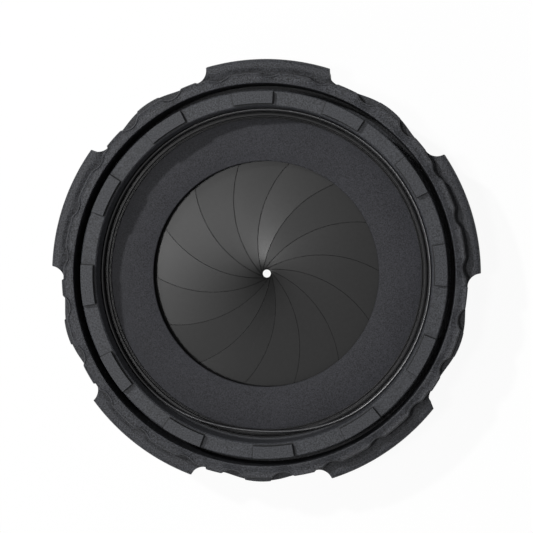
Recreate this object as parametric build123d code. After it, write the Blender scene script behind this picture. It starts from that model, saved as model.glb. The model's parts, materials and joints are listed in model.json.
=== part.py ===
from build123d import *
import math
import os

# Multi-blade iris diaphragm: a castellated barrel, a lugged control ring that turns on it, and
# thin curved blades that swing on fixed pivots. Sizes in millimetres, angles in degrees.
# The origin lies on the optical axis at the rear face, and +Z points out of the front socket.
# The solids are drawn with the iris nearly closed; the ring turns clockwise to open it.

# Blades: each is an arc-shaped sheet whose inner edge bounds the opening.
APERTURE_R = 25.5             # fixed hole in the front plate
BLADE_COUNT = 14
BLADE_THICKNESS = 0.08
BLADE_WIDTH = 9.8
BLADE_SETBACK = 0.1           # open blades stay this far outside the fixed hole
HEEL_ROOM = 0.6               # closed blades reach this far beyond the open ones
PIVOT_AZIMUTH = 6.1           # where the first pivot stands, counter-clockwise from +X
CLOSED_R = 0.9                # opening left when the ring stands at its closed stop
ROOT_SPAN = 18.0              # sheet beyond the pivot, as an angle about the arc's centre
TIP_SPAN = 24.0               # sheet beyond the closed opening, as an angle about the same centre
BLADE_GAP = 0.075             # clear air between neighbours near the axis
GAP_GROWTH = 0.0009           # extra lift for each millimetre away from the axis
SHEET_INNER_R = 0.4           # the helical sheet starts this far from the axis
SHEET_MARGIN = 2.0            # and ends this far outside the trimmed heels
PIN_R = 0.6
DRIVE_ARM = 8.0               # from a blade's pivot pin to its drive pin

# Plates and rings
PLATE_THICKNESS = 0.8
PLATE_BORE_STEP = 0.5         # the hidden plates' holes are this much larger than the fixed hole
CAM_RIM = 1.0                 # cam ring outside its slots
RETAINER_WIDTH = 1.85
RETAINER_THICKNESS = 1.2
GLIDE_THICKNESS = 0.5
SPACER_WIDTH = 1.0
RING_TRAVEL = 30.0
EAR_SPAN = 8.0
EAR_BITE = 1.0                # how far the cam ring's ears reach into the control ring

# Barrel and castellated collar
LEDGE_HEIGHT = 1.0
CHAMBER_STEP = 1.62           # from the ledge's bore out to the chamber's wall
POCKET_STEP = 0.57            # from the ledge's bore out to the front plate's pocket
SOCKET_STEP = 0.45            # from the pocket out to the socket's wall
CHAMBER_DEPTH = 4.6
COLLAR_WALL = 3.5
COLLAR_DEPTH = 8.0            # from the collar's front face to the front plate
CROWN_COUNT = 12
CROWN_SPAN = 13.0
CROWN_AZIMUTH = 3.3
CROWN_HEIGHT = 1.4
CROWN_INSET = 0.55            # step from the socket's wall to a tooth
RIM_INSET = 0.25              # step from the collar's outside to a tooth
SHOULDER_WIDTH = 0.8
SHOULDER_HEIGHT = 1.0
WINDOW_COUNT = 3
WINDOW_SPARE = 0.5            # free angle left at each end of the ring's travel

# Control ring
CHANNEL_WIDTH = 1.53          # dark groove between the collar and the ring
GRIP_FACE_WIDTH = 2.42        # front face of the ring beside a lug
GRIP_SKIRT = 0.4              # the ring is this much wider between the lugs
GRIP_EDGE = 0.5
GRIP_REAR_INSET = 1.0         # how far the ring's rear face lies in front of the flange's
LUG_COUNT = 5
LUG_AZIMUTH = 17.1
LUG_RISE = 3.02
LUG_HALF_ANGLE = 20.3
LUG_WIDEST_DROP = 6.7         # the widest line of a lug lies this far behind the front face
LUG_CREST_DROP = 3.6
LUG_CREST_RISE = 0.45
LUG_REAR_TAPER = 0.7
SCOOP_R = 3.0                 # hollow at each end of a lug
SCOOP_OFFSET = 0.07           # how far outside the lug the hollow's centre lies
HUMP_R = 18.1                 # low swelling midway between lugs
HUMP_RISE = 0.95
HUMP_DROP = 1.6
NOTCHES_PER_LUG = 5
NOTCH_R = 3.1
NOTCH_DEPTH = 0.8
NOTCH_DROP = 3.0
NOTCH_SHIFT = -0.7            # azimuth of the notches from the lugs

# Rear cover
SPIGOT_LENGTH = 4.0
SPIGOT_WALL = 4.1
FLANGE_THICKNESS = 3.6
THROAT_STEP = 1.0             # the rear throat is this much wider than the fixed hole
THROAT_LAND = 1.2
EDGE = 0.3

# Screws
SCREW_COUNT = 6
SCREW_R = 1.0
SCREW_HEAD_R = 1.8
SCREW_HEAD_HEIGHT = 1.2
SCREW_GRIP = 5.0              # length of thread in the barrel
SOCKET_KEY = 1.3              # hexagon across corners
KEY_DEPTH = 0.7

# Clearances
PIN_CLEARANCE = 0.04          # pivot pin in its hole
PIN_END_CLEARANCE = 0.05      # pins end this far short of the next plate
SLOT_CLEARANCE = 0.10         # drive pin in its cam slot
SWEEP_CLEARANCE = 0.35        # drive pin in the pivot plate's passing slot
RING_CLEARANCE = 0.06         # turning rings on their bores
FACE_CLEARANCE = 0.10         # turning rings between faces
WEB_CLEARANCE = 0.05          # the control ring's web above the glide ring
FIT_CLEARANCE = 0.10          # fixed plates in their bores, screws in their holes
FLANGE_CLEARANCE = 0.13       # cover's flange inside the control ring
SPIGOT_CLEARANCE = 0.20       # spigot in the socket of a like part
EAR_CLEARANCE = 0.05          # ears in the control ring's notches
SHEET_CLEARANCE = 0.10        # blades to the plates above and below

# Mechanism, worked out from the sizes above
BLADE_PITCH = 360 / BLADE_COUNT
BLADE_INNER_R = APERTURE_R + BLADE_SETBACK
BLADE_OUTER_R = BLADE_INNER_R + BLADE_WIDTH
BLADE_ROOM_R = BLADE_OUTER_R + HEEL_ROOM
PIVOT_R = BLADE_INNER_R + BLADE_WIDTH / 2
CENTRE_OFFSET = BLADE_INNER_R - CLOSED_R
SWING = 2 * math.degrees(math.asin(CENTRE_OFFSET / 2 / PIVOT_R))
ARC_AZIMUTH = SWING / 2 - 90              # of the closed blade's arc centre, from its pivot
TIP_AZIMUTH = 180 + ARC_AZIMUTH
HEEL_DRIVE_R = math.sqrt(
    PIVOT_R ** 2 + DRIVE_ARM ** 2 + 2 * PIVOT_R * DRIVE_ARM * math.cos(math.radians(ARC_AZIMUTH))
)

# Radii from the mechanism outwards
HIDDEN_BORE_R = APERTURE_R + PLATE_BORE_STEP
CAM_R = HEEL_DRIVE_R + PIN_R + SLOT_CLEARANCE + CAM_RIM
LEDGE_R = CAM_R + RING_CLEARANCE
CHAMBER_R = LEDGE_R + CHAMBER_STEP
POCKET_R = LEDGE_R + POCKET_STEP
SOCKET_R = POCKET_R + SOCKET_STEP
COLLAR_R = SOCKET_R + COLLAR_WALL
SHOULDER_R = COLLAR_R + SHOULDER_WIDTH
WEB_BORE_R = COLLAR_R + RING_CLEARANCE
EAR_R = WEB_BORE_R + EAR_BITE
GRIP_BORE_R = COLLAR_R + CHANNEL_WIDTH
GRIP_FACE_R = GRIP_BORE_R + GRIP_FACE_WIDTH
GRIP_R = GRIP_FACE_R + GRIP_SKIRT
LUG_R = GRIP_R + LUG_RISE
FLANGE_R = GRIP_BORE_R - FLANGE_CLEARANCE
SPIGOT_R = SOCKET_R - SPIGOT_CLEARANCE
SPIGOT_BORE_R = SPIGOT_R - SPIGOT_WALL
SCREW_CIRCLE_R = (CHAMBER_R + COLLAR_R) / 2

# Heights from the rear face forwards
FLANGE_Z = SPIGOT_LENGTH
BARREL_Z = FLANGE_Z + FLANGE_THICKNESS
LEDGE_Z = BARREL_Z + CHAMBER_DEPTH
PLATE_Z = LEDGE_Z + LEDGE_HEIGHT
FACE_Z = PLATE_Z + PLATE_THICKNESS + COLLAR_DEPTH
SOCKET_Z = PLATE_Z + PLATE_THICKNESS + RETAINER_THICKNESS + FIT_CLEARANCE
PIVOT_PLATE_Z = LEDGE_Z - PLATE_THICKNESS
CAM_Z = LEDGE_Z + FACE_CLEARANCE
CAM_THICKNESS = LEDGE_HEIGHT - 2 * FACE_CLEARANCE
WEB_Z = BARREL_Z + GLIDE_THICKNESS + WEB_CLEARANCE
WEB_TOP_Z = PLATE_Z + EDGE
SHOULDER_Z = WEB_TOP_Z + FACE_CLEARANCE
GRIP_Z = FLANGE_Z + GRIP_REAR_INSET
WINDOW_SPAN = RING_TRAVEL + EAR_SPAN + 2 * WINDOW_SPARE


def polar(radius, azimuth, height=0.0):
    return Vector(
        radius * math.cos(math.radians(azimuth)),
        radius * math.sin(math.radians(azimuth)),
        height,
    )


def at(radius, azimuth, height=0.0):
    return Pos(*polar(radius, azimuth, height))


def turned(face, start=0.0, span=360.0):
    """Revolve a face drawn in radius and height about the optical axis."""
    return Rot(0, 0, start) * revolve(Plane.XZ * face, axis=Axis.Z, revolution_arc=span)


def outline(*points):
    return make_face(Polyline(*points, close=True))


def ring(inner, outer, bottom, top, start=0.0, span=360.0):
    face = Pos((inner + outer) / 2, (bottom + top) / 2) * Rectangle(outer - inner, top - bottom)
    return turned(face, start, span)


def around(shape, count, first=0.0):
    return [Rot(0, 0, first + 360 / count * index) * shape for index in range(count)]


# Blades ---------------------------------------------------------------------------------------

ARC_CENTRE = polar(CENTRE_OFFSET, ARC_AZIMUTH)
PIVOT_POINT = polar(PIVOT_R, 0)
HEEL_POINT = ARC_CENTRE + polar(BLADE_INNER_R, SWING - ROOT_SPAN)
TIP_POINT = ARC_CENTRE + polar(BLADE_INNER_R, TIP_AZIMUTH + TIP_SPAN)


def radius_of(point):
    return math.hypot(point.X, point.Y)


def azimuth_of(point):
    """Azimuth about the axis, counted on past half a turn for the tip that lies across it."""
    azimuth = math.degrees(math.atan2(point.Y, point.X))
    return azimuth if azimuth > -90 else azimuth + 360


def drive_point(share):
    """Drive pin of the blade at azimuth 0, when the blade has made this share of its swing."""
    return PIVOT_POINT + polar(DRIVE_ARM, ARC_AZIMUTH - SWING * share)


def lift(radius):
    """Height from one blade to the next at the same place, with the iris closed."""
    return BLADE_THICKNESS + BLADE_GAP + GAP_GROWTH * radius


def drop(radius, azimuth):
    """How far the helical sheet has fallen at a place, counted from the tip's azimuth."""
    return lift(radius) / BLADE_PITCH * (azimuth - TIP_AZIMUTH)


def sheet_height(radius, azimuth):
    """Middle of the sheet, which is highest at the heel and falls towards the tip."""
    top = PIVOT_PLATE_Z - SHEET_CLEARANCE - BLADE_THICKNESS / 2
    return top + drop(radius_of(HEEL_POINT), azimuth_of(HEEL_POINT)) - drop(radius, azimuth)


def sheet_section(azimuth):
    outer = BLADE_ROOM_R + SHEET_MARGIN
    corners = []
    for radius, side in ((SHEET_INNER_R, -1), (outer, -1), (outer, 1), (SHEET_INNER_R, 1)):
        height = sheet_height(radius, azimuth) + side * BLADE_THICKNESS / 2
        corners.append(polar(radius, azimuth, height))
    return make_face(Polyline(*corners, close=True))


def blade_outline():
    band = Pos(*ARC_CENTRE) * (Circle(BLADE_OUTER_R) - Circle(BLADE_INNER_R))
    band &= Circle(BLADE_ROOM_R)
    root = SWING - ROOT_SPAN
    step = (TIP_AZIMUTH + TIP_SPAN - root) / 4
    reach = (BLADE_OUTER_R + SHEET_MARGIN) / math.cos(math.radians(step / 2))
    fan = [Vector(0, 0)] + [polar(reach, root + step * index) for index in range(5)]
    return band & Pos(*ARC_CENTRE) * outline(*fan)


def blade_sheet():
    """Sheet of the blade whose pivot stands at azimuth 0, closed."""
    step = BLADE_PITCH / 2
    first = math.floor(azimuth_of(HEEL_POINT) / step) - 1
    last = math.ceil(azimuth_of(TIP_POINT) / step) + 1
    sections = [sheet_section(step * index) for index in range(first, last + 1)]
    helix = loft(sections, ruled=True)
    blank = extrude(blade_outline(), PLATE_Z)
    holes = [Pos(point.X, point.Y) * Cylinder(PIN_R, 2 * PLATE_Z) for point in (PIVOT_POINT, drive_point(0))]
    return helix & blank - holes


def blade_pins():
    """Pivot pin and drive pin, staked flush in the sheet and standing up from it."""
    solids = []
    for point, top in ((PIVOT_POINT, LEDGE_Z), (drive_point(0), CAM_Z + CAM_THICKNESS)):
        foot = sheet_height(radius_of(point), azimuth_of(point))
        length = top - PIN_END_CLEARANCE - foot
        solids.append(Pos(point.X, point.Y, foot + length / 2) * Cylinder(PIN_R, length))
    return solids


# Plates, rings and housing --------------------------------------------------------------------

def pivot_plate():
    """Fixed plate above the blades: their pivots turn in its holes, their drive pins pass it."""
    plate = ring(HIDDEN_BORE_R, CHAMBER_R - FIT_CLEARANCE, PIVOT_PLATE_Z, LEDGE_Z)
    hole = Pos(*PIVOT_POINT) * Circle(PIN_R + PIN_CLEARANCE)
    sweep = ThreePointArc(drive_point(0), drive_point(0.5), drive_point(1))
    slot = SlotArc(sweep, 2 * (PIN_R + SWEEP_CLEARANCE))
    cutter = Pos(0, 0, PIVOT_PLATE_Z) * extrude(Sketch() + [hole, slot], PLATE_THICKNESS)
    return plate - around(cutter, BLADE_COUNT, PIVOT_AZIMUTH)


def cam_point(share):
    """Drive pin seen from the turning ring, after this share of the ring's travel."""
    return drive_point(share).rotate(Axis.Z, RING_TRAVEL * share)


def cam_ring():
    """Slotted ring that drives the blades; its ears reach the control ring through the windows."""
    plate = ring(HIDDEN_BORE_R, CAM_R, CAM_Z, CAM_Z + CAM_THICKNESS)
    path = ThreePointArc(cam_point(0), cam_point(0.5), cam_point(1))
    slot = SlotArc(path, 2 * (PIN_R + SLOT_CLEARANCE))
    cutter = Pos(0, 0, CAM_Z) * extrude(slot, CAM_THICKNESS)
    ear = ring(
        CAM_R - CAM_RIM / 2, EAR_R, CAM_Z, CAM_Z + CAM_THICKNESS,
        (RING_TRAVEL - EAR_SPAN) / 2, EAR_SPAN,
    )
    plate += around(ear, WINDOW_COUNT)
    return plate - around(cutter, BLADE_COUNT, PIVOT_AZIMUTH)


def barrel():
    """Castellated collar, chamber for the mechanism and windows open to the rear."""
    body = turned(outline(
        (CHAMBER_R, BARREL_Z), (COLLAR_R, BARREL_Z), (COLLAR_R, SHOULDER_Z),
        (SHOULDER_R, SHOULDER_Z), (SHOULDER_R, SHOULDER_Z + SHOULDER_HEIGHT),
        (COLLAR_R, SHOULDER_Z + SHOULDER_HEIGHT), (COLLAR_R, FACE_Z - RIM_INSET),
        (COLLAR_R - RIM_INSET, FACE_Z), (SOCKET_R + EDGE, FACE_Z), (SOCKET_R, FACE_Z - EDGE),
        (SOCKET_R, SOCKET_Z), (POCKET_R, SOCKET_Z), (POCKET_R, PLATE_Z), (LEDGE_R, PLATE_Z),
        (LEDGE_R, LEDGE_Z), (CHAMBER_R, LEDGE_Z),
    ))
    tooth = ring(
        SOCKET_R + CROWN_INSET, COLLAR_R - RIM_INSET, FACE_Z, FACE_Z + CROWN_HEIGHT,
        -CROWN_SPAN / 2, CROWN_SPAN,
    )
    body += around(tooth, CROWN_COUNT, CROWN_AZIMUTH)
    window = ring(
        LEDGE_R - FIT_CLEARANCE, COLLAR_R + FIT_CLEARANCE, BARREL_Z, PLATE_Z,
        -WINDOW_SPAN / 2, WINDOW_SPAN,
    )
    hole = at(SCREW_CIRCLE_R, 0, BARREL_Z + SCREW_GRIP / 2) * Cylinder(SCREW_R, SCREW_GRIP)
    body -= around(window, WINDOW_COUNT)
    return body - around(hole, SCREW_COUNT, 180 / SCREW_COUNT)


def front_plate():
    return ring(APERTURE_R, POCKET_R - FIT_CLEARANCE, PLATE_Z, PLATE_Z + PLATE_THICKNESS)


def retaining_ring():
    bottom = PLATE_Z + PLATE_THICKNESS
    top = bottom + RETAINER_THICKNESS
    bore = POCKET_R - RETAINER_WIDTH
    return turned(outline(
        (bore, bottom), (POCKET_R, bottom), (POCKET_R, top), (bore + EDGE, top), (bore, top - EDGE),
    ))


def support_height():
    """Land under the blades, just behind their lowest tips."""
    lowest = sheet_height(radius_of(TIP_POINT), azimuth_of(TIP_POINT))
    return lowest - BLADE_THICKNESS / 2 - SHEET_CLEARANCE


def blade_spacer():
    """Clamps the pivot plate against the barrel's ledge and leaves the blades their room."""
    outer = CHAMBER_R - FIT_CLEARANCE
    return ring(outer - SPACER_WIDTH, outer, support_height(), PIVOT_PLATE_Z)


def rear_cover():
    land = support_height()
    throat = APERTURE_R + THROAT_STEP
    outer = CHAMBER_R - FIT_CLEARANCE
    cover = turned(outline(
        (SPIGOT_BORE_R, 0), (SPIGOT_R - EDGE, 0), (SPIGOT_R, EDGE), (SPIGOT_R, FLANGE_Z),
        (FLANGE_R - EDGE, FLANGE_Z), (FLANGE_R, FLANGE_Z + EDGE), (FLANGE_R, BARREL_Z),
        (outer, BARREL_Z), (outer, land), (throat, land), (throat, land - THROAT_LAND),
        (SPIGOT_BORE_R, FLANGE_Z),
    ))
    head = Cylinder(SCREW_HEAD_R + FIT_CLEARANCE, 2 * SCREW_HEAD_HEIGHT)
    shank = Cylinder(SCREW_R + FIT_CLEARANCE, 2 * FLANGE_THICKNESS)
    hole = at(SCREW_CIRCLE_R, 0, FLANGE_Z) * (head + shank)
    return cover - around(hole, SCREW_COUNT, 180 / SCREW_COUNT)


def rear_screws():
    length = FLANGE_THICKNESS + SCREW_GRIP - SCREW_HEAD_HEIGHT
    head = Pos(0, 0, SCREW_HEAD_HEIGHT / 2) * Cylinder(SCREW_HEAD_R, SCREW_HEAD_HEIGHT)
    head -= extrude(RegularPolygon(SOCKET_KEY, 6), KEY_DEPTH)
    shank = Pos(0, 0, SCREW_HEAD_HEIGHT + length / 2) * Cylinder(SCREW_R, length)
    screw = at(SCREW_CIRCLE_R, 0, FLANGE_Z) * (head + shank)
    return around(screw, SCREW_COUNT, 180 / SCREW_COUNT)


def glide_ring():
    """Slippery washer between the turning ring and the cover's flange."""
    return ring(WEB_BORE_R, FLANGE_R - EDGE, BARREL_Z, BARREL_Z + GLIDE_THICKNESS)


# Control ring ---------------------------------------------------------------------------------

def lug_profile():
    """Radial section of a lug: a hollow behind the front face, a round crest, a tapered flank."""
    inner = GRIP_BORE_R + GRIP_EDGE
    crest = FACE_Z - LUG_CREST_DROP
    widest = FACE_Z - LUG_WIDEST_DROP
    rear = GRIP_Z + GRIP_EDGE
    tapered = LUG_R - LUG_REAR_TAPER
    crest_r = GRIP_R + LUG_CREST_RISE
    swell = math.sqrt(0.5)
    middle = (crest_r + (LUG_R - crest_r) * swell, widest + (crest - widest) * swell)
    edge = Polyline((inner, crest), (inner, rear), (tapered - GRIP_EDGE * 3, rear))
    edge += ThreePointArc(
        (tapered - GRIP_EDGE * 3, rear),
        (tapered - GRIP_EDGE * 0.7, rear + GRIP_EDGE * 0.9),
        (tapered, rear + GRIP_EDGE * 3),
    )
    edge += Line((tapered, rear + GRIP_EDGE * 3), (LUG_R, widest))
    edge += ThreePointArc((LUG_R, widest), middle, (crest_r, crest))
    edge += Line((crest_r, crest), (inner, crest))
    return make_face(edge)


def grip_ring():
    """Ring that the fingers turn: a web runs on the barrel, lugs and scallops give the grip."""
    body = turned(outline(
        (GRIP_BORE_R, GRIP_Z), (GRIP_R - GRIP_EDGE, GRIP_Z), (GRIP_R, GRIP_Z + GRIP_EDGE),
        (GRIP_R, FACE_Z - GRIP_EDGE), (GRIP_R - GRIP_EDGE, FACE_Z), (GRIP_BORE_R, FACE_Z),
        (GRIP_BORE_R, WEB_TOP_Z), (WEB_BORE_R, WEB_TOP_Z), (WEB_BORE_R, WEB_Z),
        (GRIP_BORE_R, WEB_Z),
    ))
    swelling = Pos(GRIP_R + HUMP_RISE - HUMP_R, 0) * Cylinder(HUMP_R, 2 * FACE_Z)
    hump = swelling & ring(
        GRIP_BORE_R + GRIP_EDGE, GRIP_R + HUMP_RISE + GRIP_EDGE, GRIP_Z + GRIP_EDGE, FACE_Z - HUMP_DROP,
        -180 / LUG_COUNT, 360 / LUG_COUNT,
    )
    body += around(hump, LUG_COUNT, LUG_AZIMUTH + 180 / LUG_COUNT)
    trough = ring(
        GRIP_FACE_R, LUG_R, FACE_Z - LUG_CREST_DROP - GRIP_EDGE, FACE_Z,
        -LUG_HALF_ANGLE, 2 * LUG_HALF_ANGLE,
    )
    body -= around(trough, LUG_COUNT, LUG_AZIMUTH)
    notch = at(GRIP_FACE_R - NOTCH_DEPTH + NOTCH_R, 0, FACE_Z) * Cylinder(NOTCH_R, 2 * NOTCH_DROP)
    body -= around(notch, LUG_COUNT * NOTCHES_PER_LUG, LUG_AZIMUTH + NOTCH_SHIFT)
    lug = turned(lug_profile(), -LUG_HALF_ANGLE, 2 * LUG_HALF_ANGLE)
    for side in (-LUG_HALF_ANGLE, LUG_HALF_ANGLE):
        lug -= at(LUG_R + SCOOP_OFFSET, side) * Cylinder(SCOOP_R, 4 * FACE_Z)
    body += around(lug, LUG_COUNT, LUG_AZIMUTH)
    ear_room = math.degrees(EAR_CLEARANCE / WEB_BORE_R)
    ear_notch = ring(
        WEB_BORE_R - 1, EAR_R + EAR_CLEARANCE, CAM_Z, WEB_TOP_Z,
        (RING_TRAVEL - EAR_SPAN) / 2 - ear_room, EAR_SPAN + 2 * ear_room,
    )
    return body - around(ear_notch, WINDOW_COUNT)


def write(name, shape):
    parts = shape if isinstance(shape, list) else [shape]
    solids = [solid for part in parts for solid in part.solids()]
    body = solids[0] if len(solids) == 1 else Compound(children=solids)
    export_step(body, os.path.join("parts", name + ".step"))


os.makedirs("parts", exist_ok=True)
for make in (barrel, rear_cover, rear_screws, front_plate, retaining_ring, pivot_plate,
             blade_spacer, glide_ring, cam_ring, grip_ring):
    write(make.__name__, make())

sheet = blade_sheet()
pins = blade_pins()
for index in range(BLADE_COUNT):
    turn = Rot(0, 0, PIVOT_AZIMUTH + BLADE_PITCH * index)
    number = f"{index + 1:02d}"
    write("blade_" + number, turn * sheet)
    write("blade_pins_" + number, [turn * pin for pin in pins])
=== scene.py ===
# %% [markdown]
# # Dressing an iris diaphragm
# An iris opens and closes a hole for light with a ring of thin blades. This lesson starts from its
# plain solids and gives them finer shapes, black finishes, a camera and some light. The packed
# model gives every piece its place, so the script starts from it and never moves it.
# All lengths are in metres and most angles are written in degrees. The optical axis lies along Z,
# and the front socket faces up.

# %% Load the frame
import json
import math
import random

import bmesh
import bpy
import numpy as np
from mathutils import Matrix, Vector


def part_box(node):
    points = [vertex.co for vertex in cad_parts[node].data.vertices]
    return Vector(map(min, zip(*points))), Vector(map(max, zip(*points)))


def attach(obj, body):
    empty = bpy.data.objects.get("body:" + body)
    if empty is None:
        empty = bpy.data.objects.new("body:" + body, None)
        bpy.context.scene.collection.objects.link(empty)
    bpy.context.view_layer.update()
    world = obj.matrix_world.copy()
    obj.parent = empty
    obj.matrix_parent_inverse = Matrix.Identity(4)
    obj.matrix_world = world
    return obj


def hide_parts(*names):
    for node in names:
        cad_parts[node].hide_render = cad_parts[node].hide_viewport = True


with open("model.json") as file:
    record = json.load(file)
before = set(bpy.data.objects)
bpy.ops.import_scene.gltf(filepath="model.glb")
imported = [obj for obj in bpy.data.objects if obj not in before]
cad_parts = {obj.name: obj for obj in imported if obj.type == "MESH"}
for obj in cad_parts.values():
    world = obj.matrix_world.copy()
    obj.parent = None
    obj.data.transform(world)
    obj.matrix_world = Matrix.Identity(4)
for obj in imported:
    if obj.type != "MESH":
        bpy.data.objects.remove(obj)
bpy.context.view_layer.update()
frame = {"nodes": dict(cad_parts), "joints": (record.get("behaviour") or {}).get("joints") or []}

MM = 0.001
nodes = frame["nodes"]

# %% [markdown]
# ## Sizes
# Heights could be typed in, but they would go wrong when the model changes. So they come from the
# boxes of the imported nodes. The grip's outline, the blades' arcs and the plates' radii repeat the
# real sizes, so that a smoother mesh can stand where the plain solid stood.

# %% Heights and radii
grip_rear_z, face_z = (corner.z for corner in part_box("grip_ring"))
plate_bottom_z, plate_top_z = (corner.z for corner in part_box("front_plate"))
retainer_top_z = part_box("retaining_ring")[1].z
pocket_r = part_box("retaining_ring")[1].x
aperture_r = 25.5 * MM
print(f"front face {face_z / MM:.2f}, plate top {plate_top_z / MM:.2f}, pocket {pocket_r / MM:.2f}")

# %% [markdown]
# ## Node helpers
# Materials and Geometry Nodes are both trees. Three small helpers keep their code short: one
# feeds a socket with a value or a link, one adds a Math node, and one adds any other node.


# %% Helpers for node trees
def feed(tree, socket, value):
    if isinstance(value, bpy.types.NodeSocket):
        tree.links.new(value, socket)
    else:
        socket.default_value = value


def calculate(tree, operation, *values):
    made = tree.nodes.new("ShaderNodeMath")
    made.operation = operation
    for socket, value in zip(made.inputs, values):
        feed(tree, socket, value)
    return made.outputs[0]


def add(tree, kind, settings=None, **inputs):
    made = tree.nodes.new(kind)
    for key, value in (settings or {}).items():
        setattr(made, key, value)
    for name, value in inputs.items():
        feed(tree, made.inputs[name.replace("_", " ")], value)
    return made


# %% [markdown]
# ## Black finishes
# Nearly all of it is black, so the finishes differ in grain and gloss. The moulded parts have a
# sandy grain with pale specks. Image textures could give it, but noise in colour and height needs
# no file and has no seam. A Bevel node rounds the shading at edges, and where it turns the normal
# most, the edge is rubbed a little paler. Ambient Occlusion paints shade into the colour of corners
# and hollows, where less light reaches.

# %% How a finish varies
cloud_grains, cloud_shade, cloud_gloss = 40, 0.5, 0.12
darkest_shade = 0.1


def shade_of(tree, fine, patchy, softened, speck, rub):
    """A factor about 1 for the colour: specks, slow patches and paler edges."""
    facing = add(tree, "ShaderNodeVectorMath", {"operation": "DOT_PRODUCT"})
    tree.links.new(softened, facing.inputs[0])
    tree.links.new(add(tree, "ShaderNodeNewGeometry").outputs["Normal"], facing.inputs[1])
    rubbed = calculate(tree, "MULTIPLY", calculate(tree, "SUBTRACT", 1.0, facing.outputs["Value"]), rub)
    specks = calculate(tree, "MULTIPLY", calculate(tree, "SUBTRACT", fine, 0.5), speck)
    patches = calculate(tree, "MULTIPLY", patchy, cloud_shade)
    shade = calculate(tree, "ADD", calculate(tree, "ADD", specks, patches), 1.0)
    return calculate(tree, "ADD", shade, rubbed)


# %% Finish with grain, specks and rubbed edges
def finish(name, colour, roughness, grain, depth, speck=0.0, rub=0.0, edge=0.15 * MM, metallic=0.0,
           specular=0.5, crevice_shade=0.0, crevice_shade_reach=0.7 * MM):
    """One material. The grain, its depth, the edge and the reach of the painted crevice shade are
    lengths.
    """
    material = bpy.data.materials.new(name)
    material.use_nodes = True
    tree = material.node_tree
    shader = tree.nodes["Principled BSDF"]
    shader.inputs["Metallic"].default_value = metallic
    shader.inputs["Specular IOR Level"].default_value = specular
    place = add(tree, "ShaderNodeTexCoord").outputs["Object"]
    fine = add(tree, "ShaderNodeTexNoise", Vector=place, Scale=1 / grain, Detail=3.0, Roughness=0.6)
    cloud = add(tree, "ShaderNodeTexNoise", Vector=place, Scale=1 / (cloud_grains * grain), Detail=2.0)
    patchy = calculate(tree, "SUBTRACT", cloud.outputs[0], 0.5)
    softened = add(tree, "ShaderNodeBevel", {"samples": 4}, Radius=edge).outputs[0]
    shade = shade_of(tree, fine.outputs[0], patchy, softened, speck, rub)
    # Painted shade: Ambient Occlusion darkens the colour in corners and hollows.
    if crevice_shade:
        open_air = add(tree, "ShaderNodeAmbientOcclusion", {"samples": 4}, Distance=crevice_shade_reach)
        seen = calculate(tree, "MULTIPLY", open_air.outputs["AO"], crevice_shade)
        shade = calculate(tree, "MULTIPLY", shade, calculate(tree, "ADD", seen, 1 - crevice_shade))
    shade = calculate(tree, "MAXIMUM", shade, darkest_shade)
    tint = add(tree, "ShaderNodeVectorMath", {"operation": "SCALE"}, Scale=shade)
    tint.inputs[0].default_value = colour
    tree.links.new(tint.outputs[0], shader.inputs["Base Color"])
    uneven = calculate(tree, "MULTIPLY", patchy, cloud_gloss)
    tree.links.new(calculate(tree, "ADD", uneven, roughness), shader.inputs["Roughness"])
    bump = add(tree, "ShaderNodeBump", Strength=1.0, Distance=depth, Height=fine.outputs[0])
    tree.links.new(softened, bump.inputs["Normal"])
    tree.links.new(bump.outputs[0], shader.inputs["Normal"])
    print("finish", name)
    return material


# %% Moulded grip, collar and plates
grip_black = finish("grip_black", (0.0225, 0.0234, 0.027), 0.55, 0.3 * MM, 0.1 * MM, speck=7.0,
                    rub=1.5, specular=0.2, crevice_shade=0.85, crevice_shade_reach=2.0 * MM)
collar_black = finish("collar_black", (0.0265, 0.0277, 0.0315), 0.55, 0.3 * MM, 0.05 * MM, speck=4.5,
                      rub=1.5, specular=0.2, crevice_shade=0.8)
plate_black = finish("plate_black", (0.023, 0.0233, 0.027), 0.5, 0.24 * MM, 0.012 * MM, speck=3.0,
                     rub=0.8, specular=0.08)
cover_black = finish("cover_black", (0.03, 0.031, 0.035), 0.5, 0.3 * MM, 0.01 * MM, speck=0.8,
                     rub=1.0, specular=0.25)
glide_grey = finish("glide_grey", (0.06, 0.06, 0.06), 0.45, 0.3 * MM, 0.004 * MM)

# %% Glossy ring, wire, blades and steel
gloss_black = finish("gloss_black", (0.004, 0.004, 0.0045), 0.34, 0.6 * MM, 0.0, rub=1.0,
                     edge=0.06 * MM, specular=0.11)
wire_black = finish("wire_black", (0.02, 0.02, 0.022), 0.3, 0.6 * MM, 0.0, edge=0.02 * MM,
                    specular=0.45)
blade_black = finish("blade_black", (0.0055, 0.0055, 0.0055), 0.32, 0.8 * MM, 0.002 * MM, speck=0.8,
                     edge=0.05 * MM, rub=0.3, specular=0.115)
screw_steel = finish("screw_steel", (0.05, 0.05, 0.052), 0.35, 0.2 * MM, 0.004 * MM, metallic=1.0,
                     rub=2.0)
pin_steel = finish("pin_steel", (0.5, 0.5, 0.51), 0.3, 0.1 * MM, 0.002 * MM, metallic=1.0,
                   edge=0.05 * MM)

# %% [markdown]
# ## Painted shade round the collar's teeth
# The collar carries twelve low teeth. Where each one rises from it, a fine dark line of shade is
# painted into the colour. A groove could be cut there, but the line is only a quarter of a
# millimetre wide, so the shade is painted.
# The material works out the distance to the nearest tooth from the place itself: Ping-Pong folds
# all the azimuths onto half a pitch, so one tooth stands for all.

# %% Painted shade round the collar's teeth
tooth_count, tooth_azimuth, tooth_span = 12, 3.3, 13.0
tooth_inner_r, tooth_foot_z = 37.85 * MM, 21.5 * MM
foot_shade_middle, foot_shade_half_width, foot_shade_strength = 0.08 * MM, 0.12 * MM, 0.7


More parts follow.
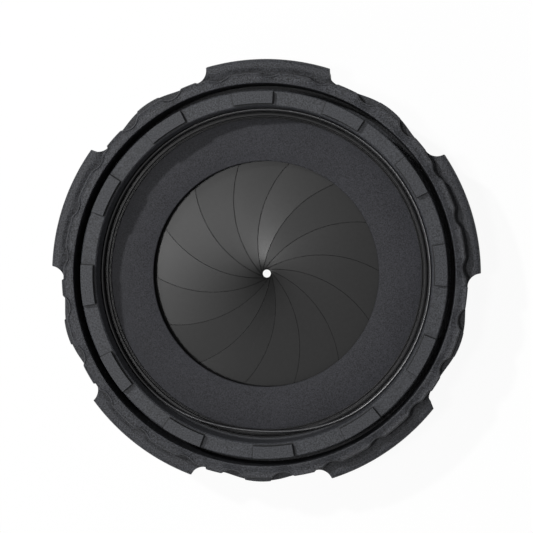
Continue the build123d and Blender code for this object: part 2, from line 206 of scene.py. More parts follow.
def paint_tooth_foot_shade(material):
    tree = material.node_tree
    target = tree.nodes["Principled BSDF"].inputs["Base Color"]
    before = target.links[0].from_socket
    place = add(tree, "ShaderNodeSeparateXYZ", Vector=add(tree, "ShaderNodeTexCoord").outputs["Object"])
    x, y, z = place.outputs
    squares = [calculate(tree, "POWER", axis, 2.0) for axis in (x, y)]
    radius = calculate(tree, "SQRT", calculate(tree, "ADD", *squares))
    azimuth = calculate(tree, "SUBTRACT", calculate(tree, "ARCTAN2", y, x), math.radians(tooth_azimuth))
    apart = calculate(tree, "PINGPONG", azimuth, math.pi / tooth_count)
    beside = calculate(tree, "SUBTRACT", apart, math.radians(tooth_span / 2))
    outside = calculate(tree, "MAXIMUM", calculate(tree, "MULTIPLY", beside, radius),
                        calculate(tree, "SUBTRACT", tooth_inner_r, radius))
    # Painted shade: a thin dark line round the foot of each tooth.
    foot_shade = calculate(tree, "COMPARE", outside, foot_shade_middle, foot_shade_half_width)
    foot_shade = calculate(tree, "MULTIPLY", foot_shade, calculate(tree, "GREATER_THAN", z, tooth_foot_z))
    kept = calculate(tree, "SUBTRACT", 1.0, calculate(tree, "MULTIPLY", foot_shade, foot_shade_strength))
    darker = add(tree, "ShaderNodeVectorMath", {"operation": "SCALE"}, Scale=kept)
    tree.links.new(before, darker.inputs[0])
    tree.links.new(darker.outputs[0], target)
    print(f"{material.name}: {tooth_count} teeth outlined")


paint_tooth_foot_shade(collar_black)

# %% [markdown]
# ## Painted edge shade and gloss of each blade
# The blades are black all over. Where one blade lies on the next, a fine line of painted shade is
# drawn: a thin strip along each blade's inner edge is made metallic with a darker colour, which
# dims its sheen. A mesh can carry numbers of its own, called attributes: the blade tree further
# down stores how far across the blade a point is, and how glossy the blade is. The material reads
# both, so one finish serves all the blades, each a bit different.

# %% Painted edge shade and gloss of each blade
edge_shade_share, edge_shade_dimming = 0.012, 0.25


def dress_blades(material):
    tree = material.node_tree
    shader = tree.nodes["Principled BSDF"]
    across = add(tree, "ShaderNodeAttribute", {"attribute_name": "across"}).outputs["Fac"]
    # Painted shade: the strip by each blade's inner edge gets a darker colour and a dimmed, metallic
    # sheen.
    edge_shade = calculate(tree, "LESS_THAN", across, edge_shade_share)
    tree.links.new(edge_shade, shader.inputs["Metallic"])
    kept = calculate(tree, "SUBTRACT", 1.0, calculate(tree, "MULTIPLY", edge_shade, edge_shade_dimming))
    colour = add(tree, "ShaderNodeVectorMath", {"operation": "SCALE"}, Scale=kept)
    tree.links.new(shader.inputs["Base Color"].links[0].from_socket, colour.inputs[0])
    tree.links.new(colour.outputs[0], shader.inputs["Base Color"])
    gloss = add(tree, "ShaderNodeAttribute", {"attribute_name": "gloss"}).outputs["Fac"]
    rough = shader.inputs["Roughness"]
    tree.links.new(calculate(tree, "SUBTRACT", rough.links[0].from_socket, gloss), rough)
    print(f"{material.name}: {len(tree.nodes)} nodes")


dress_blades(blade_black)

# %% [markdown]
# ## Finishes on the plain nodes
# Most pieces inside are turned or stamped, and their plain solids already look right. They only
# need a material. The pieces that are made again below hide the solid that they replace.

# %% Finishes on the plain nodes
plain = {
    "barrel": collar_black, "rear_cover": cover_black, "pivot_plate": plate_black,
    "cam_ring": plate_black, "blade_spacer": cover_black, "glide_ring": glide_grey,
    "grip_ring": grip_black, "front_plate": plate_black, "retaining_ring": gloss_black,
    "rear_screws": screw_steel,
}
for name, node in nodes.items():
    material = plain.get(name, pin_steel if "pins" in name else blade_black)
    node.data.materials.clear()
    node.data.materials.append(material)
print(f"{len(nodes)} nodes have a finish")

# %% [markdown]
# ## Swept rings
# The grip, the plate, the retaining ring, its wire and the screws are all sections carried round
# an axis. A Screw modifier could turn a fixed section, but the grip's section changes on the way. So
# one helper does it: the section may change with the azimuth, as long as it keeps its number of
# points. Edges sharper than 40 degrees stay sharp, and the rest is shaded smooth.

# %% Helper that carries a section round the axis
sharp_angle = math.radians(40)
half_degrees = np.arange(0, 360, 0.5)


def shade_smooth(mesh):
    mesh.shade_smooth()
    mesh.set_sharp_from_angle(angle=sharp_angle)


def sweep(name, section, azimuths, material):
    """A whole ring, with its section worked out afresh at each azimuth, in degrees."""
    steps = len(azimuths)
    rings = np.array([section(azimuth) for azimuth in azimuths])
    azimuths = np.radians(azimuths)
    count = rings.shape[1]
    radius, height = rings[:, :, 0], rings[:, :, 1]
    places = np.stack([radius * np.cos(azimuths)[:, None], radius * np.sin(azimuths)[:, None], height], 2)
    near = np.arange(steps)[:, None] * count + np.arange(count)[None, :]
    far = np.roll(near, -1, axis=0)
    quads = np.stack([near, far, np.roll(far, -1, axis=1), np.roll(near, -1, axis=1)], 2)
    mesh = bpy.data.meshes.new(name)
    mesh.from_pydata(places.reshape(-1, 3).tolist(), [], quads.reshape(-1, 4).tolist())
    shell = bmesh.new()
    shell.from_mesh(mesh)
    bmesh.ops.recalc_face_normals(shell, faces=shell.faces)
    shell.to_mesh(mesh)
    shell.free()
    shade_smooth(mesh)
    mesh.materials.append(material)
    piece = bpy.data.objects.new(name, mesh)
    bpy.context.scene.collection.objects.link(piece)
    print(f"{name}: {len(mesh.polygons)} faces")
    return piece


# %% Helper that rounds the corners of a section
reaches_per_side = 2.2


def rounded(corners, radius, steps=3):
    """A closed outline with every corner cut by a small arc, unless it has a radius of its own."""
    points = []
    for index, corner in enumerate(corners):
        here = np.array(corner[:2], float)
        before = np.array(corners[index - 1][:2], float)
        after = np.array(corners[(index + 1) % len(corners)][:2], float)
        side_before, side_after = np.linalg.norm(before - here), np.linalg.norm(after - here)
        wanted = corner[2] if len(corner) > 2 else radius
        reach = min(wanted, side_before / reaches_per_side, side_after / reaches_per_side)
        start = here + (before - here) / side_before * reach
        end = here + (after - here) / side_after * reach
        for share in np.linspace(0, 1, steps + 1):
            points.append((1 - share) ** 2 * start + 2 * share * (1 - share) * here + share ** 2 * end)
    return np.array(points)


print(f"a rounded square has {len(rounded([(0, 0), (1, 0), (1, 1), (0, 1)], 0.2))} points")

# %% [markdown]
# ## Grip ring
# The fingers turn this ring. Its section changes round the axis: at a lug there is a front face,
# a hollow behind it and a round crest, and between lugs there is a plain wall with a low hump.
# Scallops bite into the front edge. Booleans could cut them, but they leave a rough mesh. Seen
# along the axis each one is a circle, so the wall's distance at an azimuth is a short formula.

# %% Grip ring sizes
lug_count, lug_azimuth, lug_half, lug_blend = 5, 17.1, 20.3, 0.15
lug_pitch = 360 / lug_count
bore_r, lug_face_r, wall_r = 42.34 * MM, 44.75 * MM, 45.15 * MM
crest_r, lug_r, rear_lug_r = 46.4 * MM, 48.16 * MM, 47.46 * MM
crest_z, widest_z, cove_z = 18.35 * MM, 15.3 * MM, 18.05 * MM
lug_low_z, wall_low_z = 7.5 * MM, 8.5 * MM
web_r, web_low, web_high = 40.9 * MM, 8.2 * MM, 13.45 * MM
scoop_centre_r, scoop_r = 48.2 * MM, 3.0 * MM
hump_centre_r, hump_r, hump_top_z = 28.0 * MM, 18.1 * MM, 20.4 * MM
notch_pitch, notch_shift, notch_centre_r, notch_r = 14.4, -0.7, 47.08 * MM, 3.1 * MM
notch_floor_z = 19.0 * MM
edge_r, dish, rear_round = 0.25 * MM, 0.4 * MM, 1.4 * MM
scoop_limit_r, rim_rise = wall_r - 0.1 * MM, 0.1 * MM
print(f"{lug_count} lugs, {360 / notch_pitch:.0f} notches, {(lug_r - wall_r) / MM:.2f} from wall to lug")


# %% Circles seen along the axis
def circle_wall(offset, centre, radius, side):
    """Distance from the axis to a circle's near (-1) or far (+1) wall, or None where it misses."""
    across = centre * math.sin(math.radians(offset))
    if abs(across) >= radius:
        return None
    return centre * math.cos(math.radians(offset)) + side * math.sqrt(radius ** 2 - across ** 2)


def soft_min(first, second, blend):
    """The smaller of two lengths, with the corner between them rounded off."""
    if second is None:
        return first
    near = max(blend - abs(first - second), 0) / blend
    return min(first, second) - near * near * blend / 4


def ramp(value, low, high):
    return min(max((value - low) / (high - low), 0.0), 1.0)


notch_depth = wall_r - circle_wall(0, notch_centre_r, notch_r, -1)
print(f"a notch is {notch_depth / MM:.2f} mm deep at its middle")

# %% Flank of a lug
cove_steps, cove_run = ((0.0, 0.9 * MM), (0.1 * MM, 0.3 * MM)), 0.35 * MM
crest_power, same_place = 0.5, 1e-7


def lug_profile(outer_r):
    """From the front wall through the hollow and over the crest to the widest line."""
    points = [(outer_r + run, cove_z + rise) for run, rise in cove_steps]
    for share in np.linspace(0, 1, 6):
        along = outer_r + cove_run + (crest_r - outer_r - cove_run) * share
        rise = (1 - math.cos(math.pi * share)) / 2
        points.append((along, cove_z + (crest_z - cove_z) * rise))
    for share in np.linspace(0, 1, 10)[1:]:
        angle = math.pi / 2 * share
        along = crest_r + (lug_r - crest_r) * math.sin(angle) ** crest_power
        height = widest_z + (crest_z - widest_z) * max(math.cos(angle), 0.0) ** crest_power
        points.append((along, height))
    return points


def lug_flank(reach, rear_reach, outer_r):
    """The lug's profile cut off at its reach, where a scoop bites, and the flank below it."""
    kept = []
    for along, height in lug_profile(outer_r):
        if along > reach and kept:
            before_r, before_z = kept[-1]
            short = before_r < reach - same_place
            share = (reach - before_r) / (along - before_r) if short else 0.0
            along, height = reach, before_z + (height - before_z) * share
        kept.append((along, height))
    last_z = kept[-1][1]
    for share in (0.25, 0.5, 0.75):
        kept.append((reach + (rear_reach - reach) * share, last_z + (lug_low_z - last_z) * share))
    return kept


flank_points = len(lug_flank(lug_r, rear_lug_r, lug_face_r))
print(f"a flank has {flank_points} points")


# %% Wall between the lugs
def plain_flank(front_r, side_r, bite):
    """The same number of points for the wall between lugs, with its low hump and deep notches."""
    step_r = max(soft_min(side_r, bite, 2 * edge_r), front_r)
    points = [(front_r, hump_top_z + rim_rise), (front_r, hump_top_z)]
    points += [(max(step_r - edge_r, front_r), hump_top_z), (step_r, hump_top_z - edge_r)]
    points += [(step_r, notch_floor_z + 2 * edge_r), (step_r, notch_floor_z + edge_r)]
    points += [(min(step_r + edge_r, side_r), notch_floor_z)]
    points += [(max(step_r, side_r - edge_r), notch_floor_z)]
    for height in np.linspace(notch_floor_z - edge_r, wall_low_z, flank_points - len(points)):
        points.append((side_r, height))
    return points


print(f"the plain wall has {len(plain_flank(wall_r, wall_r, None))} points")


# %% Front, rear and bore of the grip
def front_face(outer_r):
    """The front face, dished a little between its two rounded edges."""
    points = [(bore_r, face_z - 2 * edge_r), (bore_r + edge_r * 0.3, face_z - edge_r * 0.3),
              (bore_r + edge_r, face_z)]
    for share, sunk in ((0.35, 0.45), (0.7, 1.0)):
        points.append((bore_r + (outer_r - bore_r) * share, face_z - dish * sunk))
    return points + [
        (outer_r - 1.2 * edge_r, face_z - dish * 0.5),
        (outer_r - 0.35 * edge_r, face_z - dish - edge_r * 0.2),
        (outer_r, face_z - dish - 1.2 * edge_r),
    ]


def rear_and_bore(rear_r):
    """The rounded rear edge, and the bore with the web that reaches inwards from it."""
    points = []
    for share in np.linspace(0, 1, 5):
        angle = math.pi / 2 * share
        points.append((rear_r - rear_round * (1 - math.cos(angle)),
                       grip_rear_z + rear_round * (1 - math.sin(angle))))
    return points + [
        (bore_r + edge_r, grip_rear_z), (bore_r, grip_rear_z + edge_r), (bore_r, web_low),
        (web_r, web_low), (web_r, web_high), (bore_r, web_high),
    ]


# %% Grip ring section
def grip_section(azimuth):
    """The whole outline at one azimuth, blended from lug to wall over a fraction of a degree."""
    turn = (azimuth - lug_azimuth + lug_pitch / 2) % lug_pitch - lug_pitch / 2
    lug = ramp(lug_half - abs(turn), -lug_blend, lug_blend)
    front_r = lug_face_r * lug + wall_r * (1 - lug)
    offset = (turn - notch_shift + notch_pitch / 2) % notch_pitch - notch_pitch / 2
    bite = circle_wall(offset, notch_centre_r, notch_r, -1)
    outer_r = soft_min(front_r, bite, 2 * edge_r)
    hump = circle_wall(abs(turn) - lug_pitch / 2, hump_centre_r, hump_r, 1)
    side_r = -soft_min(-wall_r, -hump, 2 * edge_r) if hump else wall_r
    scoop = circle_wall(abs(turn) - lug_half, scoop_centre_r, scoop_r, -1)
    reach = max(soft_min(lug_r, scoop, 2 * edge_r), scoop_limit_r)
    rear_reach = min(rear_lug_r, reach)
    on_lug = lug_flank(reach, rear_reach, outer_r)
    between = plain_flank(outer_r, side_r, bite)
    middle = []
    for (lug_x, lug_y), (plain_x, plain_y) in zip(on_lug, between):
        middle.append((lug_x * lug + plain_x * (1 - lug), lug_y * lug + plain_y * (1 - lug)))
    return front_face(outer_r) + middle + rear_and_bore(rear_reach * lug + side_r * (1 - lug))


print(f"the section has {len(grip_section(lug_azimuth))} points")

# %% Azimuths of the grip's sections
just_inside = 0.999


def grip_azimuths():
    """One sample a degree, and many more where a notch, a scoop or a lug's end is passed."""
    found = set(np.arange(0, 360, 1.0))
    for lug in range(lug_count):
        middle = lug_azimuth + lug_pitch * lug
        for side in (-lug_half, lug_half):
            found.update(middle + side + np.linspace(-0.2, 0.2, 7))
            for angle in np.arange(-90, 91, 5):
                across = scoop_r * math.sin(math.radians(angle)) * just_inside
                found.add(middle + side + math.degrees(math.asin(across / scoop_centre_r)))
        for notch in range(-2, 3):
            centre = middle + notch_shift + notch_pitch * notch
            for angle in np.arange(-90, 91, 6):
                across = notch_r * math.sin(math.radians(angle)) * just_inside
                found.add(centre + math.degrees(math.asin(across / notch_centre_r)))
    return sorted(set(round(azimuth % 360, 3) for azimuth in found))


# %% Grip ring
grip = sweep("grip", grip_section, grip_azimuths(), grip_black)
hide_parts("grip_ring")
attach(grip, "control_ring")

# %% [markdown]
# ## Front plate
# The plate is a flat satin ring, stamped with a slightly rolled edge at its hole. A Bevel modifier
# on the solid would do, but its triangles are loose, so the plate is swept with rounded corners.

# %% Front plate
plate_gap, plate_edge = 0.1 * MM, 0.15 * MM
plate_r = pocket_r - plate_gap
plate_corners = [(aperture_r, plate_bottom_z), (plate_r, plate_bottom_z), (plate_r, plate_top_z),
                 (aperture_r, plate_top_z)]
plate_outline = rounded(plate_corners, plate_edge)
plate = sweep("aperture_plate", lambda azimuth: plate_outline, half_degrees, plate_black)
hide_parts("front_plate")
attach(plate, "housing")

# %% [markdown]
# ## Retaining ring
# The ring that holds the plate is glossy, with three fine beads that step down towards the hole.
# It shows as thin bright lines, because each bead's edge catches the light. Only real geometry
# gives such lines from every side, so the beads are corners of the section.

# %% Retaining ring
retainer_r = 35.0 * MM
groove_z = plate_top_z + 0.15 * MM
bead_corner, bead_edge = 0.1 * MM, 0.03 * MM
# A bead is its inner radius, its outer radius and its height above the plate, in millimetres.
outer_bead, middle_bead, inner_bead = (36.55, 36.8, 1.2), (35.6, 36.3, 0.75), (35.0, 35.25, 0.4)
bead_outline = [(retainer_r, plate_top_z), (pocket_r, plate_top_z), (pocket_r, retainer_top_z)]
for bead in (outer_bead, middle_bead, inner_bead):
    bead_start, bead_end, bead_top = (size * MM for size in bead)
    if bead is not outer_bead:
        bead_outline += [(bead_end, groove_z), (bead_end, plate_top_z + bead_top, bead_edge)]
    bead_outline.append((bead_start, plate_top_z + bead_top))
    if bead is not inner_bead:
        bead_outline.append((bead_start, groove_z))
retainer_outline = rounded(bead_outline, bead_corner)
retainer = sweep("retainer", lambda azimuth: retainer_outline, half_degrees, gloss_black)
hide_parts("retaining_ring")
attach(retainer, "housing")

# %% [markdown]
# ## Retaining wire
# A spring wire lies over the ring, in the corner of the socket. It follows the socket's wall and
# bends inwards at one place, where a tool can lift it. A curve with a bevel would do as well, but
# the sweep is at hand: the section is a small circle whose distance from the axis changes.

# %% Retaining wire
wire_r, wire_dip, dip_azimuth, dip_half = 0.3 * MM, 1.6 * MM, 266.0, 42.0
wire_path_r, wire_z = 36.97 * MM, 15.62 * MM


def wire_section(azimuth):
    away = min(abs((azimuth - dip_azimuth + 180) % 360 - 180) / dip_half, 1.0)
    middle = wire_path_r - wire_dip * (1 + math.cos(math.pi * away)) / 2
    angles = np.linspace(0, 2 * math.pi, 12, endpoint=False)
    return np.stack([middle + wire_r * np.cos(angles), wire_z + wire_r * np.sin(angles)], 1)


wire = sweep("wire", wire_section, half_degrees, wire_black)
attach(wire, "housing")

# %% [markdown]
# ## Geometry Nodes from a script
# A loop could place every vertex, but a tree of nodes keeps the rule behind a shape where it can be
# seen and changed. Its sizes are named inputs, so one tree makes many pieces. The first helper
# starts a tree. The second runs it on an empty object, with some of the inputs changed, and keeps
# the result as a plain mesh, so nothing is left to work out later.


# %% Helpers for Geometry Nodes
def start_tree(name, sizes):
    tree = bpy.data.node_groups.new(name, "GeometryNodeTree")
    tree.interface.new_socket("Geometry", in_out="OUTPUT", socket_type="NodeSocketGeometry")
    for label, value in sizes.items():
        socket = tree.interface.new_socket(label, in_out="INPUT", socket_type="NodeSocketFloat")
        socket.default_value = value
    inputs = tree.nodes.new("NodeGroupInput")
    return tree, inputs.outputs, tree.nodes.new("NodeGroupOutput")


def baked(name, tree, changes, material):
    holder = bpy.data.objects.new(name, bpy.data.meshes.new(name))
    bpy.context.scene.collection.objects.link(holder)
    modifier = holder.modifiers.new("Shape", "NODES")
    modifier.node_group = tree
    for item in tree.interface.items_tree:
        if item.in_out == "INPUT" and item.name in changes:
            modifier[item.identifier] = changes[item.name]
    bpy.context.view_layer.update()
    evaluated = holder.evaluated_get(bpy.context.evaluated_depsgraph_get())
    mesh = bpy.data.meshes.new_from_object(evaluated)
    holder.modifiers.remove(modifier)
    holder.data = mesh
    mesh.name = name
    mesh.materials.clear()
    mesh.materials.append(material)
    return holder


# %% [markdown]
# ## Blades
# A blade is a strip of sheet cut to an arc. All the blades overlap in a ring, each one resting
# on the next, which is only possible if each falls a little as it goes round the axis, like a
# step of a spiral stair. So a flat grid is bent by a rule, and Geometry Nodes can hold the rule:
# one Math node for each operation, from the grid's own coordinates to a place in space.

# %% Blade sizes
blade_count = 14
blade_sizes = {
    "Inner radius": 25.6 * MM, "Width": 9.8 * MM, "Closed opening": 0.9 * MM, "Heel room": 0.6 * MM,
    "Thickness": 0.08 * MM, "Lift": 0.155 * MM, "Lift growth": 0.0009,
    "Root span": math.radians(18), "Tip span": math.radians(24), "Blades": float(blade_count),
    "Middle height": 0.0, "Turn": 0.0, "Gloss": 0.0,
}
print(f"{blade_count} blades, {blade_sizes['Width'] / MM:.1f} wide")

# %% [markdown]
# The strip's arc has its centre beside the axis, and turns with the blade about a pivot pin. The
# next helper finds that centre from the opening that is left when the iris is closed. It then goes
# along the arc from root to tip and across it, and trims the heel where it would leave the chamber.


# %% Arc of a blade
def arc_of_blade(tree, size, along, across):
    """The place of a point in plan, and the azimuth of the blade's tip."""
    def do(operation, *values):
        return calculate(tree, operation, *values)

    pivot = do("ADD", size["Inner radius"], do("MULTIPLY", size["Width"], 0.5))
    offset = do("SUBTRACT", size["Inner radius"], size["Closed opening"])
    half_swing = do("ARCSINE", do("DIVIDE", do("MULTIPLY", offset, 0.5), pivot))
    centre_azimuth = do("SUBTRACT", half_swing, math.pi / 2)
    centre_x = do("MULTIPLY", offset, do("COSINE", centre_azimuth))
    centre_y = do("MULTIPLY", offset, do("SINE", centre_azimuth))
    tip_azimuth = do("ADD", centre_azimuth, math.pi)
    root = do("SUBTRACT", do("MULTIPLY", half_swing, 2.0), size["Root span"])
    tip = do("ADD", tip_azimuth, size["Tip span"])
    angle = do("ADD", root, do("MULTIPLY", do("SUBTRACT", tip, root), along))
    aside = do("MULTIPLY", offset, do("COSINE", do("SUBTRACT", angle, centre_azimuth)))
    outer = do("ADD", size["Inner radius"], size["Width"])
    room = do("ADD", outer, size["Heel room"])
    inside = do("SUBTRACT", do("ADD", do("POWER", aside, 2.0), do("POWER", room, 2.0)),
                do("POWER", offset, 2.0))
    trimmed = do("MINIMUM", outer, do("SUBTRACT", do("SQRT", inside), aside))
    reach = do("ADD", size["Inner radius"],
               do("MULTIPLY", do("SUBTRACT", trimmed, size["Inner radius"]), across))
    x = do("ADD", centre_x, do("MULTIPLY", reach, do("COSINE", angle)))
    y = do("ADD", centre_y, do("MULTIPLY", reach, do("SINE", angle)))
    return x, y, tip_azimuth


# %% Fall of a blade
def underside_of_blade(tree, size, x, y, tip_azimuth):
    """The height of the sheet's underside, which falls by one lift for each blade it passes."""
    def do(operation, *values):
        return calculate(tree, operation, *values)

    radius = do("SQRT", do("ADD", do("POWER", x, 2.0), do("POWER", y, 2.0)))
    azimuth = do("ARCTAN2", y, x)
    wrap = do("MULTIPLY", do("LESS_THAN", azimuth, -math.pi / 2), 2 * math.pi)
    past = do("SUBTRACT", do("ADD", azimuth, wrap), tip_azimuth)
    lift = do("ADD", size["Lift"], do("MULTIPLY", size["Lift growth"], radius))
    pitch = do("DIVIDE", 2 * math.pi, size["Blades"])
    height = do("SUBTRACT", size["Middle height"], do("DIVIDE", do("MULTIPLY", lift, past), pitch))
    return do("SUBTRACT", height, do("MULTIPLY", size["Thickness"], 0.5))


# %% [markdown]
# The tree bends the grid, stores the two attributes on it, and gives it a thickness. Extrude leaves
# the bottom open, so a flipped copy of the sheet closes it, and Merge by Distance joins the rims.


# %% Blade tree
def blade_tree():
    tree, size, output = start_tree("blade", blade_sizes)
    grid = add(tree, "GeometryNodeMeshGrid", Size_X=1.0, Size_Y=1.0, Vertices_X=161, Vertices_Y=13)
    along, across = add(tree, "ShaderNodeSeparateXYZ", Vector=grid.outputs["UV Map"]).outputs[:2]
    x, y, tip_azimuth = arc_of_blade(tree, size, along, across)
    low = underside_of_blade(tree, size, x, y, tip_azimuth)
    place = add(tree, "ShaderNodeCombineXYZ", X=x, Y=y, Z=low)
    sheet = grid.outputs["Mesh"]
    for label, value in (("across", across), ("gloss", size["Gloss"])):
        stored = add(tree, "GeometryNodeStoreNamedAttribute", {"data_type": "FLOAT", "domain": "POINT"},
                     Geometry=sheet, Name=label, Value=value)
        sheet = stored.outputs[0]
    bent = add(tree, "GeometryNodeSetPosition", Geometry=sheet, Position=place.outputs[0])
    up = add(tree, "ShaderNodeCombineXYZ", Z=size["Thickness"])
    raised = add(tree, "GeometryNodeExtrudeMesh", Mesh=bent.outputs[0], Offset=up.outputs[0],
                 Individual=False)
    under = add(tree, "GeometryNodeFlipFaces", Mesh=bent.outputs[0])
    both = add(tree, "GeometryNodeJoinGeometry")
    tree.links.new(raised.outputs["Mesh"], both.inputs[0])
    tree.links.new(under.outputs[0], both.inputs[0])
    shut = add(tree, "GeometryNodeMergeByDistance", Geometry=both.outputs[0], Distance=0.002 * MM)
    turn = add(tree, "ShaderNodeCombineXYZ", Z=size["Turn"])
    turned = add(tree, "GeometryNodeTransform", Geometry=shut.outputs[0], Rotation=turn.outputs[0])
    real = add(tree, "GeometryNodeRealizeInstances", Geometry=turned.outputs[0])
    dressed = add(tree, "GeometryNodeSetMaterial", Geometry=real.outputs[0], Material=blade_black)
    tree.links.new(dressed.outputs[0], output.inputs[0])
    print(f"the blade tree has {len(tree.nodes)} nodes")
    return tree


# %% Blades
blade_shape = blade_tree()
first_joint = next(joint for joint in frame["joints"] if joint["name"] == "blade_01_swing")
first_turn = math.atan2(first_joint["pos_m"][1], first_joint["pos_m"][0])
blade_top_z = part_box("blade_01")[1].z
gloss_spread = 0.05
lots = random.Random(88)
for index in range(blade_count):
    number = f"{index + 1:02d}"
    turn = first_turn + 2 * math.pi * index / blade_count
    changes = {"Turn": turn, "Gloss": lots.uniform(-gloss_spread, gloss_spread)}
    piece = baked(f"leaf_{number}", blade_shape, changes, blade_black)
    if index == 0:
        tallest = max(vertex.co.z for vertex in piece.data.vertices)
    for vertex in piece.data.vertices:
        vertex.co.z += blade_top_z - tallest
    shade_smooth(piece.data)
    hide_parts(f"blade_{number}")
    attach(piece, f"swing_blade_{number}")
print(f"{blade_count} blades, {len(piece.data.polygons)} faces each, top at {blade_top_z / MM:.2f}")

# %% [markdown]
# ## Rear screws
# Six low screws hold the cover. Each head is one more swept section, whose recess follows a
# hexagon. Threads are left out, because they never show. The screws could be copied by a loop, but
# Instance on Points does it in one node, and shows how an export needs its copies made real.

# %% One screw
screw_low, screw_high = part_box("rear_screws")
head_r, head_z, key_r, key_z = 1.8 * MM, 1.2 * MM, 1.1 * MM, 0.7 * MM
shank_r, shank_z = 1.0 * MM, screw_high.z - screw_low.z
middle_r, screw_edge = 0.02 * MM, 0.18 * MM
screw_count, screw_circle_r = 6.0, 39.35 * MM


def screw_section(azimuth):
    hexagon = key_r / math.cos(math.radians((azimuth + 30) % 60 - 30))
    corners = [(middle_r, key_z), (hexagon, key_z), (hexagon, 0.0), (head_r, 0.0), (head_r, head_z),
               (shank_r, head_z), (shank_r, shank_z), (middle_r, shank_z)]
    return rounded(corners, screw_edge)


screw = sweep("screw", screw_section, np.arange(0, 360, 7.5), screw_steel)


# %% Tree that sets copies round a circle
def ring_tree():
    sizes = {"Count": screw_count, "Circle radius": screw_circle_r, "Height": screw_low.z,
             "First": math.pi / screw_count}
    tree, size, output = start_tree("ring_of_copies", sizes)
    circle = add(tree, "GeometryNodeMeshCircle", Vertices=size["Count"], Radius=size["Circle radius"])
    copy = add(tree, "GeometryNodeObjectInfo")
    copy.inputs["Object"].default_value = screw
    spread = add(tree, "GeometryNodeInstanceOnPoints", Points=circle.outputs[0],
                 Instance=copy.outputs["Geometry"])
    turn = add(tree, "ShaderNodeCombineXYZ", Z=size["First"])
    raise_by = add(tree, "ShaderNodeCombineXYZ", Z=size["Height"])
    placed = add(tree, "GeometryNodeTransform", Geometry=spread.outputs[0], Rotation=turn.outputs[0],
                 Translation=raise_by.outputs[0])
    real = add(tree, "GeometryNodeRealizeInstances", Geometry=placed.outputs[0])
    dressed = add(tree, "GeometryNodeSetMaterial", Geometry=real.outputs[0], Material=screw_steel)
    tree.links.new(dressed.outputs[0], output.inputs[0])
    return tree


# %% Screws round the cover
screws = baked("cover_screws", ring_tree(), {}, screw_steel)
shade_smooth(screws.data)
bpy.data.objects.remove(screw)
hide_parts("rear_screws")
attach(screws, "housing")
print(f"screws: {len(screws.data.polygons)} faces")

# %% [markdown]
# ## Camera
# The iris is seen from its front, a few degrees to the right of the axis and a little above it,
# from an arm's length away. A Track To constraint could aim the camera, but the three directions
# of its frame, written as the columns of a matrix, also keep Y upright in the render.

# %% Camera
view_from_right, view_from_above, view_distance = 4.19, 1.74, 400 * MM
aim_right, aim_up = 0.76 * MM, 1.9 * MM
front_centre = Vector((0, 0, face_z))
sight = Vector((math.tan(math.radians(view_from_right)), math.tan(math.radians(view_from_above)), 1))
aim = front_centre + Vector((aim_right, aim_up, 0))
camera_data = bpy.data.cameras.new("camera")
camera_data.lens = 122.2
camera_data.sensor_width = 36
camera = bpy.data.objects.new("camera", camera_data)
camera.location = front_centre + sight.normalized() * view_distance
backward = (camera.location - aim).normalized()
rightward = Vector((0, 1, 0)).cross(backward).normalized()
upward = backward.cross(rightward)
camera.rotation_euler = Matrix((rightward, upward, backward)).transposed().to_euler()
bpy.context.scene.collection.objects.link(camera)
bpy.context.scene.camera = camera
print(f"camera {camera.location.length / MM:.0f} mm from the origin")

# %% [markdown]
# ## Floor and background
# The floor and the world are plain white to the camera, and the world is white in reflections too.
# As a source of light the world is kept dim, so that black parts stay black. Light Path tells the
# two apart, and a Mix Shader leaves a little of the floor's paint, which catches the shadow.

# %% Floor
floor_reach, floor_gap, floor_glow = 3.0, 0.0002, 0.94
floor_mesh = bpy.data.meshes.new("floor")
floor_corners = [(x * floor_reach, y * floor_reach, 0) for x, y in ((-1, -1), (1, -1), (1, 1), (-1, 1))]
floor_mesh.from_pydata(floor_corners, [], [(0, 1, 2, 3)])
floor = bpy.data.objects.new("floor", floor_mesh)
floor.location.z = -floor_gap
bpy.context.scene.collection.objects.link(floor)
floor_paint = bpy.data.materials.new("floor_paint")
floor_paint.use_nodes = True
tree = floor_paint.node_tree
shader = tree.nodes["Principled BSDF"]
shader.inputs["Base Color"].default_value = (0.8, 0.8, 0.8, 1)
shader.inputs["Roughness"].default_value = 0.9
glow = add(tree, "ShaderNodeEmission", Strength=1.0)
path = add(tree, "ShaderNodeLightPath")
blend = add(tree, "ShaderNodeMixShader")
tree.links.new(calculate(tree, "MULTIPLY", path.outputs["Is Camera Ray"], floor_glow), blend.inputs[0])
tree.links.new(shader.outputs[0], blend.inputs[1])
tree.links.new(glow.outputs[0], blend.inputs[2])
tree.links.new(blend.outputs[0], tree.nodes["Material Output"].inputs["Surface"])
floor_mesh.materials.append(floor_paint)
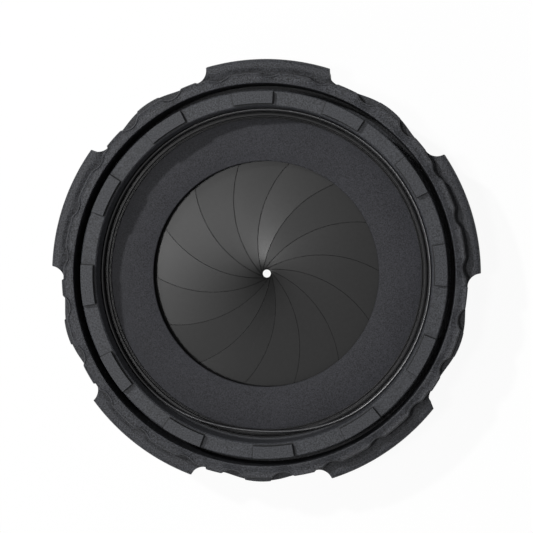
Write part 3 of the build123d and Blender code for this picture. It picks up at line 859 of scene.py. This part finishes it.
print(f"floor {2 * floor_reach:.0f} m wide, {floor_gap / MM:.1f} mm below the origin")

# %% World
world_dim = 0.06


def white_backdrop(tree, dim):
    """Full white for what sees it directly or in a reflection, and dimmer as a source of light."""
    path = add(tree, "ShaderNodeLightPath")
    seen = calculate(tree, "MAXIMUM", path.outputs["Is Camera Ray"], path.outputs["Is Glossy Ray"])
    seen = calculate(tree, "MAXIMUM", seen, path.outputs["Is Transmission Ray"])
    return calculate(tree, "ADD", calculate(tree, "MULTIPLY", seen, 1 - dim), dim)


world = bpy.data.worlds.new("world")
bpy.context.scene.world = world
world.use_nodes = True
background = world.node_tree.nodes["Background"]
background.inputs["Color"].default_value = (1, 1, 1, 1)
world.node_tree.links.new(white_backdrop(world.node_tree, world_dim), background.inputs["Strength"])

# %% [markdown]
# ## Lamps
# The key lamp, up on the left, is small and draws the collar's teeth as a crisp shadow on the
# plate. A second small one, close to the axis, gives the blades their sheen. A wide lamp from the
# lower left opens the shadows. Each is placed by its azimuth round the axis and its tilt away
# from it, in degrees, and looks at the middle of the front face.


# %% Lamps
def lamp(name, azimuth, tilt, distance, size, power):
    data = bpy.data.lights.new(name, "AREA")
    data.shape = "DISK"
    data.size = size
    data.energy = power
    item = bpy.data.objects.new(name, data)
    level = Vector((math.cos(math.radians(azimuth)), math.sin(math.radians(azimuth)), 0))
    item.location = front_centre + (
        level * math.sin(math.radians(tilt)) + Vector((0, 0, math.cos(math.radians(tilt))))) * distance
    item.rotation_euler = (front_centre - item.location).to_track_quat("-Z", "Y").to_euler()
    bpy.context.scene.collection.objects.link(item)
    print(f"lamp {name}: {power} W")


lamp("key", azimuth=141, tilt=37, distance=0.9, size=0.05, power=6.5)
lamp("sheen", azimuth=183, tilt=13, distance=0.9, size=0.10, power=3.3)
lamp("low", azimuth=215, tilt=55, distance=0.9, size=0.4, power=1.5)

# %% [markdown]
# ## Finish
# The Standard view shows colours as they are written.

# %% Finish
bpy.context.scene.view_settings.view_transform = "Standard"
